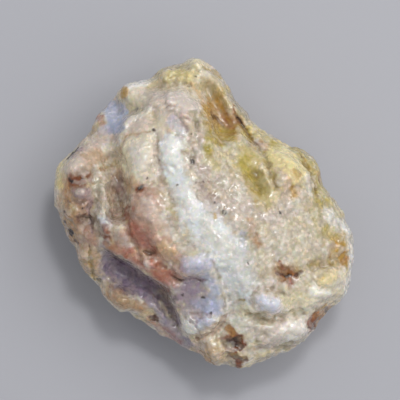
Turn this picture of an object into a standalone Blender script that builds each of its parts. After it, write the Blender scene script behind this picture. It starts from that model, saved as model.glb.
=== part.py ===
"""A rough lump of hackmanite, one solid stone lying on its back.

Metres, +Z up. +X is the right and +Y the top of the show face, which looks up along +Z. The origin is
at the middle of the footprint, on the flat fracture that the stone rests on. The places and sizes below
are in millimetres, as a person would measure them on the stone, and become metres in place_vertices().
"""

import math

import bmesh
import bpy
import numpy as np
from mathutils import Vector, noise

MM = 0.001

# Driving sizes of the lump
RIM_HEIGHT = 23.0
FACE_RISE = 21.0
UNDERSIDE_DEPTH = 25.5
FACE_POWER = 2.3
UNDERSIDE_POWER = 3.0
RIM_SWING = 2.5
SPHERE_SUBDIVISIONS = 7
FACET_COUNT = 9600

# The widest outline of the stone, seen from above its show face, clockwise from the knob at the top
OUTLINE = [
    (-3.5, 52.2), (-0.8, 50.8), (4.2, 47.5), (6.5, 44.2), (8.5, 40.2), (10.2, 36.8),
    (13.8, 33.5), (15.4, 30.2), (18.8, 27.2), (25.3, 23.6), (28.2, 21.6), (31.5, 21.2),
    (35.2, 18.8), (37.5, 16.2), (38.3, 13.0), (38.9, 9.3), (43.4, 3.8), (47.4, -2.8),
    (49.0, -9.5), (48.8, -15.2), (47.4, -25.0), (45.2, -28.8), (42.4, -31.0), (37.6, -35.4),
    (36.6, -38.5), (34.0, -41.0), (31.3, -44.5), (27.5, -46.2), (17.5, -50.2), (12.2, -52.2),
    (8.8, -51.8), (7.2, -50.4), (4.2, -51.2), (1.2, -50.0), (-1.6, -46.6), (-5.5, -46.2),
    (-8.5, -45.2), (-11.2, -42.8), (-17.2, -39.2), (-22.2, -35.8), (-24.8, -33.2), (-28.5, -32.6),
    (-31.8, -30.2), (-36.8, -23.2), (-40.5, -19.8), (-43.2, -16.2), (-43.6, -11.8), (-46.4, -8.3),
    (-49.2, 0.5), (-50.2, 6.8), (-49.6, 13.5), (-47.2, 17.5), (-42.2, 22.8), (-38.2, 26.8),
    (-35.5, 32.8), (-30.4, 37.6), (-29.6, 40.2), (-25.2, 43.2), (-20.2, 44.2), (-16.8, 45.5),
    (-15.0, 48.2), (-11.5, 49.3), (-7.8, 49.3), (-5.8, 51.0),
]

# Rounded swellings and dents of the show face:
# centre x, centre y, half length, half width, turn in degrees, height (below zero for a dent), roundness
SOFT, ROUND, NODULE = 2.0, 1.4, 0.9
SWELLINGS = {
    "main mass": (3.0, 2.0, 46.0, 26.0, -55, 4.0, ROUND),
    "cream boss": (-21.0, 17.0, 11.0, 7.5, 80, 2.6, ROUND),
    "pink boss": (-8.5, 33.0, 11.0, 8.5, -60, 3.2, ROUND),
    "ice boss": (-10.5, 20.0, 8.0, 5.5, 75, 1.8, ROUND),
    "brown shoulder": (-18.0, 0.0, 12.0, 8.0, 80, 2.2, ROUND),
    "red boss": (-13.0, -11.0, 7.0, 5.0, -50, 2.0, ROUND),
    "small white boss": (-18.0, -17.0, 4.0, 2.6, -30, 1.5, NODULE),
    "ice vein upper": (-4.0, 2.0, 13.0, 6.5, -65, 1.8, ROUND),
    "ice vein lower": (7.0, -16.0, 13.0, 7.0, -60, 1.8, ROUND),
    "lilac block top": (-3.5, -17.5, 7.5, 5.0, 10, 2.6, ROUND),
    "lilac block foot": (-1.5, -35.0, 6.5, 4.4, 15, 2.6, ROUND),
    "lilac block hollow": (-5.0, -27.0, 6.0, 4.5, -20, -1.6, SOFT),
    "white knuckle": (20.5, -29.5, 7.5, 4.6, 0, 2.8, ROUND),
    "lower right boss": (27.0, -40.0, 9.0, 4.6, 20, 2.2, ROUND),
    "cream nodule": (40.5, -21.5, 3.6, 2.8, 40, 1.4, NODULE),
    "right shoulder": (37.0, -27.0, 9.0, 6.5, 40, 1.8, ROUND),
    "bottom knob": (3.5, -46.5, 5.5, 4.8, 0, 2.4, NODULE),
    "right lobe": (27.0, 12.5, 12.5, 7.5, -55, 2.4, ROUND),
    "right lobe rim": (36.0, 9.0, 8.5, 4.0, -75, 1.6, SOFT),
    "granular swell": (26.0, -7.0, 14.0, 10.0, -20, 1.2, SOFT),
    "top crust": (-10.5, 45.5, 8.0, 4.0, 10, 2.0, NODULE),
    "top knob": (-2.6, 49.5, 3.4, 2.6, 0, 1.8, NODULE),
    "upper left ledge": (-23.5, 40.0, 7.5, 4.2, 20, 2.6, ROUND),
    "left lobe top": (-42.0, 15.0, 8.5, 5.0, 50, 2.2, ROUND),
    "left lobe foot": (-44.0, 2.0, 9.0, 5.0, 85, 2.0, ROUND),
    "left lobe bead": (-40.5, 6.5, 4.2, 3.4, 0, 1.8, ROUND),
    "left heel": (-41.5, -13.5, 5.0, 3.6, -70, 1.6, NODULE),
    "green heel": (-35.5, -16.5, 5.8, 3.4, -70, 2.6, NODULE),
    "ochre lip": (-26.5, -29.0, 9.0, 3.6, -25, 2.8, ROUND),
    "pink lip": (-15.5, -38.0, 5.5, 2.6, -35, 1.4, NODULE),
    "nest between ribs": (-28.0, -6.5, 5.0, 4.0, 60, 2.2, NODULE),
    "grey hollow": (-23.0, 33.5, 5.0, 3.6, 15, -2.6, SOFT),
    "glass hollow": (17.5, 10.5, 8.5, 4.4, -60, -3.0, SOFT),
    "brown pit": (-39.0, -3.5, 3.6, 4.4, 0, -3.6, SOFT),
    "rust pit": (27.0, -20.5, 3.6, 2.6, -20, -1.6, SOFT),
    "dark pit": (9.8, -42.8, 4.0, 2.8, 0, -2.8, SOFT),
    "upper left pit": (-41.0, 10.8, 3.6, 1.8, -10, -1.4, SOFT),
    "dark nest": (-17.5, -13.0, 3.2, 2.0, 0, -1.8, SOFT),
}

# Rounded channels (below zero) and ribs along a line: the points, half width, height
FURROWS = {
    "west valley": ([(-31.0, 21.5), (-29.2, 12.5), (-28.2, 4.0), (-28.4, -3.5)], 4.8, -4.8),
    "pale rib": ([(-35.0, 13.0), (-34.0, 4.0), (-33.6, -4.5), (-31.5, -9.5)], 2.6, 2.4),
    "left groove": ([(-37.2, 14.0), (-36.2, 6.5), (-36.6, 0.0), (-35.2, -8.5)], 2.8, -3.2),
    "amber channel": ([(-3.0, 43.0), (2.2, 35.0), (5.8, 29.0), (9.6, 23.8)], 5.6, -5.4),
    "amber side channel": ([(2.4, 29.0), (4.6, 24.0)], 2.8, -1.8),
    "channel rim": ([(3.5, 44.5), (8.0, 36.0), (11.5, 31.0)], 3.0, 2.0),
    "dark crack": ([(10.2, 32.5), (12.6, 28.5), (14.8, 25.0), (17.8, 21.0)], 1.8, -3.4),
    "lobe crease": ([(15.8, 23.0), (20.0, 16.5), (21.4, 12.5), (24.0, 7.8)], 1.8, -2.0),
    "rim crease": ([(29.5, 20.5), (33.0, 16.5), (35.6, 11.0), (36.2, 4.0)], 1.6, -1.4),
    "mustard groove": ([(47.5, -13.0), (40.0, -16.4), (32.5, -19.4)], 2.6, -1.6),
    "knuckle crease": ([(15.0, -34.0), (20.5, -35.2), (26.5, -34.4)], 1.7, -1.8),
    "block crease": ([(-11.5, -21.2), (-6.0, -22.6), (0.0, -22.8)], 1.7, -2.6),
    "violet trough": ([(-32.5, -16.5), (-24.5, -22.0), (-15.5, -25.5), (-10.5, -33.5), (-7.5, -41.0)],
                      4.2, -2.6),
    "violet rib": ([(-18.5, -29.0), (-13.5, -35.0), (-7.5, -43.5)], 2.0, 2.4),
    "rim slit": ([(-46.5, 17.0), (-42.0, 22.0)], 1.3, -2.2),
    "pink valley": ([(-24.0, 38.0), (-17.0, 40.6), (-8.0, 41.5), (-3.0, 39.0)], 2.2, -2.0),
    "boss crease": ([(-14.5, 33.0), (-18.0, 29.5)], 1.8, -1.2),
    "pit crease": ([(8.0, -45.5), (6.5, -50.5)], 1.5, -1.8),
}

# Ledges, walked with the low ground on the right hand: the points, drop, width of the wall, and how far
# the low ground reaches before it has come back up
LEDGES = {
    "west scarp": ([(-18.5, 33.2), (-25.6, 29.6), (-28.2, 24.2), (-28.4, 17.5), (-26.5, 9.2),
                    (-25.4, 2.5), (-24.6, -4.5)], 5.5, 2.4, 12.0),
    "violet scarp": ([(-38.5, -8.5), (-31.8, -12.8), (-24.2, -17.6), (-16.8, -22.0), (-12.8, -24.8),
                      (-11.0, -28.5), (-9.2, -34.2), (-7.0, -39.5), (-1.5, -45.0)], 8.5, 2.0, 14.0),
    "amber wall": ([(2.6, 23.5), (1.6, 29.0), (0.4, 35.0), (-1.5, 39.0), (-4.5, 42.5)], 3.0, 2.0, 9.0),
    "block wall": ([(-2.5, -40.0), (3.0, -36.8), (6.0, -33.0), (5.4, -28.0), (4.4, -22.5),
                    (1.5, -16.0)], 2.4, 1.8, 8.0),
    "grey ledge": ([(-30.0, 39.0), (-26.4, 36.2), (-25.8, 31.0)], 2.6, 1.4, 8.0),
}

# Old flat breaks of the flanks and underside: compass bearing and dip of the face in degrees, and how far
# it lies from the middle of the stone
BREAKS = [
    (20, -28, 38.4), (75, -38, 38.0), (128, -24, 44.0), (172, -38, 38.6), (215, -20, 41.0),
    (258, -34, 38.8), (305, -26, 46.8), (345, -42, 37.4), (100, -60, 28.0), (230, -62, 27.0),
]
BREAK_SHARPNESS = 0.8

# Nodules and grain that cover the whole surface: spacing and height
NODULE_SPACING = 8.5
NODULE_HEIGHT = 0.75
WAVE_SPACING = 20.0
WAVE_HEIGHT = 1.8
GRAIN_SPACING = 4.2
GRAIN_HEIGHT = 0.5

HACKMANITE_COLOUR = (0.66, 0.62, 0.55, 1.0)
HACKMANITE_ROUGHNESS = 0.45


def rise(t):
    """0 below t = 0, 1 above t = 1, and smooth between."""
    t = np.clip(t, 0.0, 1.0)
    return t * t * (3.0 - 2.0 * t)


def smooth_path(points, closed=False, steps=8):
    """Points along a Catmull-Rom curve through the given ones."""
    p = np.array(points, float)
    if closed:
        p = np.vstack([p[-1:], p, p[:2]])
    else:
        p = np.vstack([2 * p[0] - p[1], p, 2 * p[-1] - p[-2]])
    found = []
    for a, b, c, d in zip(p[:-3], p[1:-2], p[2:-1], p[3:]):
        for t in np.arange(steps) / steps:
            found.append(0.5 * (2 * b + (c - a) * t + (2 * a - 5 * b + 4 * c - d) * t**2
                                + (3 * b - a - 3 * c + d) * t**3))
    if not closed:
        found.append(p[-2])
    return np.array(found)


def near_path(x, y, points):
    """For each x, y: the distance to the path, the share of the path passed, and the side, +1 on the right."""
    path = smooth_path(points)
    lengths = np.hypot(*np.diff(path, axis=0).T)
    passed = np.concatenate([[0.0], np.cumsum(lengths)])
    nearest = np.full(x.shape, 1e9)
    share = np.zeros(x.shape)
    side = np.ones(x.shape)
    for (ax, ay), (bx, by), length, before in zip(path[:-1], path[1:], lengths, passed):
        ux, uy = (bx - ax) / length, (by - ay) / length
        along = np.clip((x - ax) * ux + (y - ay) * uy, 0.0, length)
        away_x, away_y = x - ax - along * ux, y - ay - along * uy
        distance = np.hypot(away_x, away_y)
        closer = distance < nearest
        nearest = np.where(closer, distance, nearest)
        share = np.where(closer, (before + along) / passed[-1], share)
        side = np.where(closer, np.sign(uy * away_x - ux * away_y), side)
    return nearest, share, side


def swelling(x, y, cx, cy, half_length, half_width, turn, height, roundness):
    """A rounded boss, or a dent where height is below zero."""
    angle = math.radians(turn)
    u = ((x - cx) * math.cos(angle) + (y - cy) * math.sin(angle)) / half_length
    v = ((y - cy) * math.cos(angle) - (x - cx) * math.sin(angle)) / half_width
    return height * np.clip(1.0 - u * u - v * v, 0.0, 1.0) ** roundness


def furrow(x, y, points, half_width, height):
    """A rounded channel or rib that dies away at both its ends."""
    distance, share, _ = near_path(x, y, points)
    fade = rise(share / 0.15) * rise((1.0 - share) / 0.15)
    return height * fade * np.clip(1.0 - (distance / half_width) ** 2, 0.0, 1.0) ** 1.5


def ledge(x, y, points, drop, wall, reach):
    """A step down on the path's right side."""
    distance, share, side = near_path(x, y, points)
    low = distance * side
    fade = rise(share / 0.18) * rise((1.0 - share) / 0.18)
    return -drop * fade * rise(low / wall) * (1.0 - rise((low - wall) / reach))


def face_relief(x, y):
    """Height of the show face above a plain dome."""
    height = np.zeros(x.shape)
    for shape in SWELLINGS.values():
        height += swelling(x, y, *shape)
    for points, half_width, depth in FURROWS.values():
        height += furrow(x, y, points, half_width, depth)
    for points, drop, wall, reach in LEDGES.values():
        height += ledge(x, y, points, drop, wall, reach)
    return height


def outline_reach(angle):
    """Distance from the middle of the footprint to the outline, in the direction of each angle."""
    rim = smooth_path(OUTLINE, closed=True)
    angles = np.arctan2(rim[:, 1], rim[:, 0])
    order = np.argsort(angles)
    return np.interp(angle, angles[order], np.hypot(*rim.T)[order], period=2 * math.pi)


def lumpy_body(directions):
    """Each unit direction's point on the plain lump: the outline, a low dome above it and a bowl below."""
    x, y, z = directions.T
    level = np.hypot(x, y)
    angle = np.arctan2(y, x)
    power = np.where(z > 0, FACE_POWER, UNDERSIDE_POWER)
    stretch = (level**power + np.abs(z) ** power) ** (-1.0 / power)
    out = level * stretch
    up = z * stretch
    reach = outline_reach(angle) * out
    swing = RIM_SWING * out**2 * np.cos(2.0 * angle + 0.6)
    height = RIM_HEIGHT + swing + up * np.where(up > 0, FACE_RISE, UNDERSIDE_DEPTH)
    return np.stack([reach * np.cos(angle), reach * np.sin(angle), height], axis=1), out


def break_flanks(points):
    """Cuts the old flat breaks into the flanks and underside."""
    middle = np.array([0.0, 0.0, RIM_HEIGHT])
    for bearing, dip, distance in BREAKS:
        across, down = math.radians(bearing), math.radians(dip)
        normal = np.array([math.cos(across) * math.cos(down), math.sin(across) * math.cos(down),
                           math.sin(down)])
        proud = np.clip((points - middle) @ normal - distance, 0.0, None)
        points = points - BREAK_SHARPNESS * proud[:, None] * normal
    return points


def skin_height(point):
    """Height of the nodules, waves and grain that cover the stone all over."""
    waves = noise.noise(point / WAVE_SPACING) * WAVE_HEIGHT
    near, second = noise.voronoi(point / NODULE_SPACING)[0][:2]
    nodules = (min(second - near, 0.5) - 0.25) * 2.0 * NODULE_HEIGHT
    grain = noise.noise(point / GRAIN_SPACING) * GRAIN_HEIGHT
    return waves + nodules + grain


def place_vertices(bm):
    """Moves a unit sphere's vertices onto the stone."""
    directions = np.array([v.co.normalized() for v in bm.verts])
    points, out = lumpy_body(directions)
    on_face = rise(directions[:, 2] / 0.12)
    points[:, 2] += on_face * face_relief(points[:, 0], points[:, 1])
    points = break_flanks(points)
    for vertex, point in zip(bm.verts, points):
        vertex.co = Vector(point)
    bm.normal_update()
    skin = [skin_height(v.co) for v in bm.verts]
    at_rim = 1.0 - 0.6 * rise((out - 0.9) / 0.1)
    for vertex, height, share in zip(bm.verts, skin, at_rim):
        vertex.co = (vertex.co + vertex.normal * height * share) * MM


def cut_resting_face(bm):
    """Cuts the underside off flat at the floor and closes the cut."""
    everything = bm.verts[:] + bm.edges[:] + bm.faces[:]
    cut = bmesh.ops.bisect_plane(bm, geom=everything, plane_co=(0, 0, 0), plane_no=(0, 0, -1),
                                 clear_outer=True)
    loop = [e for e in cut["geom_cut"] if isinstance(e, bmesh.types.BMEdge)]
    bmesh.ops.contextual_create(bm, geom=loop)


def centre_footprint(bm):
    """Puts the origin at the middle of the stone's box, on the resting face."""
    low = [min(v.co[axis] for v in bm.verts) for axis in range(3)]
    high = [max(v.co[axis] for v in bm.verts) for axis in range(3)]
    middle = Vector(((low[0] + high[0]) / 2, (low[1] + high[1]) / 2, low[2]))
    bmesh.ops.translate(bm, verts=bm.verts, vec=-middle)


def hackmanite_material():
    """Pale cream to lilac massive sodalite with a waxy shine."""
    material = bpy.data.materials.new("hackmanite")
    material.use_nodes = True
    shader = material.node_tree.nodes["Principled BSDF"]
    shader.inputs["Base Color"].default_value = HACKMANITE_COLOUR
    shader.inputs["Roughness"].default_value = HACKMANITE_ROUGHNESS
    shader.inputs["Metallic"].default_value = 0.0
    return material


def faceted_lump(collection):
    """The whole lump before it is cut, reduced to facets that stay small where the relief is sharp."""
    bm = bmesh.new()
    bmesh.ops.create_icosphere(bm, subdivisions=SPHERE_SUBDIVISIONS, radius=1.0)
    place_vertices(bm)
    fine_count = len(bm.faces)
    fine_mesh = bpy.data.meshes.new("fine_lump")
    bm.to_mesh(fine_mesh)
    bm.free()
    fine_lump = bpy.data.objects.new("fine_lump", fine_mesh)
    collection.objects.link(fine_lump)
    reduce = fine_lump.modifiers.new("facets", "DECIMATE")
    reduce.ratio = FACET_COUNT / fine_count
    graph = bpy.context.evaluated_depsgraph_get()
    faceted = bpy.data.meshes.new_from_object(fine_lump.evaluated_get(graph))
    bpy.data.objects.remove(fine_lump)
    return faceted


def add_stone(collection):
    """The stone: one solid, cut flat where it rests."""
    mesh = faceted_lump(collection)
    mesh.name = "hackmanite_rough"
    bm = bmesh.new()
    bm.from_mesh(mesh)
    cut_resting_face(bm)
    centre_footprint(bm)
    bm.to_mesh(mesh)
    bm.free()
    mesh.materials.append(hackmanite_material())
    stone = bpy.data.objects.new("hackmanite_rough", mesh)
    collection.objects.link(stone)


def main():
    for obj in list(bpy.data.objects):
        bpy.data.objects.remove(obj)
    collection = bpy.data.collections.new("hackmanite_rough")
    bpy.context.scene.collection.children.link(collection)
    add_stone(collection)


main()
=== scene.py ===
"""A rough lump of hackmanite on a plain table top, seen from straight above.

The stone lies on its back, show face up. +X is the face's right and +Y its top. Places on the face are in
millimetres from the middle of its outline, and FACE_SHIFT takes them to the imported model's frame.
"""

import itertools
import math

import bmesh
import bpy
import numpy as np
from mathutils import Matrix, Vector


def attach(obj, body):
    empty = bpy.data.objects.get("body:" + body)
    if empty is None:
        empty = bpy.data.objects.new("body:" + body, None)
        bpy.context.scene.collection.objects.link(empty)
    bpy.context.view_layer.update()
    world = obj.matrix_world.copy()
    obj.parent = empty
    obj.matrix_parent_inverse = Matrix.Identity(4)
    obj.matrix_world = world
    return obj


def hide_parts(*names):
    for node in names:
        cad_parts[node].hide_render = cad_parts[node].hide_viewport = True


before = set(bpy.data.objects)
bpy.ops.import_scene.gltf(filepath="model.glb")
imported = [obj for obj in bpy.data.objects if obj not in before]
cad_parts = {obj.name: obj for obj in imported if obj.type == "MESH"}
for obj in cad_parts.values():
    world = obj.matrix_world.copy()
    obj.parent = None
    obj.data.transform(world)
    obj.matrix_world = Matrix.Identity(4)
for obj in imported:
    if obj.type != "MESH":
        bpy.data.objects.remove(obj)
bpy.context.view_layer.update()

# The stone's body. The real one is a single broken piece of massive sodalite rock, weathered until its
# edges are rounded. Its faceted solid is rounded off here and then divided finely enough to carve.

MM = 0.001
BODY_CELL = 0.89
CARVED_FROM_HEIGHT = 17.0
CARVED_FROM_SLOPE = 0.10
PULL = 0.6


def evaluated_mesh(piece):
    """The mesh that an object's modifiers make."""
    graph = bpy.context.evaluated_depsgraph_get()
    return bpy.data.meshes.new_from_object(piece.evaluated_get(graph))


def rounded_body(node):
    """A copy of a faceted solid with its facets rounded off, in even cells."""
    bm = bmesh.new()
    bm.from_mesh(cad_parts[node].data)
    bmesh.ops.remove_doubles(bm, verts=bm.verts, dist=0.001 * MM)
    mesh = bpy.data.meshes.new("stone_blank")
    bm.to_mesh(mesh)
    bm.free()
    blank = bpy.data.objects.new("stone_blank", mesh)
    bpy.context.scene.collection.objects.link(blank)
    rounding = blank.modifiers.new("rounding", "SUBSURF")
    rounding.levels = rounding.render_levels = 1
    softening = blank.modifiers.new("softening", "SMOOTH")
    softening.factor = 0.5
    softening.iterations = 4
    cells = blank.modifiers.new("cells", "REMESH")
    cells.mode = "VOXEL"
    cells.voxel_size = BODY_CELL * MM
    body = evaluated_mesh(blank)
    bpy.data.objects.remove(blank)
    return body


def divide_show_face(mesh):
    """Halves the cells of the show face, where the carving is finest."""
    bm = bmesh.new()
    bm.from_mesh(mesh)
    face_edges = set()
    for face in bm.faces:
        high = face.calc_center_median().z > CARVED_FROM_HEIGHT * MM
        if high and face.normal.z > CARVED_FROM_SLOPE:
            face_edges.update(face.edges)
    bmesh.ops.subdivide_edges(bm, edges=list(face_edges), cuts=1, use_grid_fill=True)
    bmesh.ops.triangulate(bm, faces=bm.faces)
    bm.to_mesh(mesh)
    bm.free()


def read_points(mesh):
    """The vertices and their normals, in millimetres."""
    points = np.empty(len(mesh.vertices) * 3, np.float32)
    mesh.vertices.foreach_get("co", points)
    normals = np.empty(len(mesh.vertices) * 3, np.float32)
    mesh.vertices.foreach_get("normal", normals)
    return points.reshape(-1, 3).astype(float) / MM, normals.reshape(-1, 3).astype(float)


def write_points(mesh, points):
    """Puts the vertices at these places, in millimetres."""
    mesh.vertices.foreach_set("co", (points * MM).astype(np.float32).ravel())
    mesh.update()


def read_edges(mesh):
    """The two ends of every edge."""
    ends = np.empty(len(mesh.edges) * 2, np.int32)
    mesh.edges.foreach_get("vertices", ends)
    return ends.reshape(-1, 2)


def evened(values, edges, rounds):
    """Each vertex's value drawn towards its neighbours' mean by PULL, this many rounds."""
    a, b = edges.T
    count = len(values)
    neighbours = np.bincount(a, minlength=count) + np.bincount(b, minlength=count)
    for _ in range(rounds):
        columns = []
        for column in values.reshape(count, -1).T:
            around = (np.bincount(a, column[b], count) + np.bincount(b, column[a], count)) / neighbours
            columns.append((1.0 - PULL) * column + PULL * around)
        values = np.stack(columns, axis=1).reshape(values.shape)
    return values


stone_mesh = rounded_body("hackmanite_rough")
divide_show_face(stone_mesh)
edges = read_edges(stone_mesh)
points, _ = read_points(stone_mesh)
points = evened(points, edges, 2)
write_points(stone_mesh, points)

# Its minerals and marks. Cream and icy white sodalite fills the face, hackmanite colours the block and the
# plate lilac to violet, and iron stained the seams olive, amber and rust. Weathering opened the seams and
# left knobs and pits. Each mark is a streak, or a spot if it is short, with its colour and its relief. Some
# marks are painted shade or painted light, as their names or the notes beside them say.

CREAM, YELLOW_CREAM, WARM_CREAM, PALE_CREAM = "#d9d0bd", "#dfcf92", "#d3c8b4", "#ece2b8"
ICE, SNOW, BLUE_WHITE, PINK_WHITE = "#dee4e6", "#e9e8e4", "#d2d5e3", "#e3dad3"
PINK, PINK_GREY, PINK_BROWN, PEACH = "#dccfc5", "#cabbb1", "#bf9f8d", "#d3b48b"
LILAC, BLUE_LILAC, GREY_LILAC, MAUVE = "#bdbfd4", "#a9b0c9", "#968b9b", "#a28b94"
VIOLET, DEEP_VIOLET = "#84758a", "#604e5c"
AMBER, BROWN_AMBER, GOLD, OCHRE, TAN = "#a88038", "#955f22", "#b9923e", "#b38248", "#bd9c78"
DEEP_OLIVE, OLIVE, YELLOW_OLIVE = "#948238", "#a89044", "#b5a44c"
GREY_OLIVE, PALE_OLIVE = "#a9a086", "#c8ba88"
RED, RUST, BROWN, DARK, DARK_AMBER = "#a4614c", "#884a20", "#633c28", "#301c14", "#5c3a14"
GREY, VALLEY = "#b9b0a0", "#9a8378"

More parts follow.
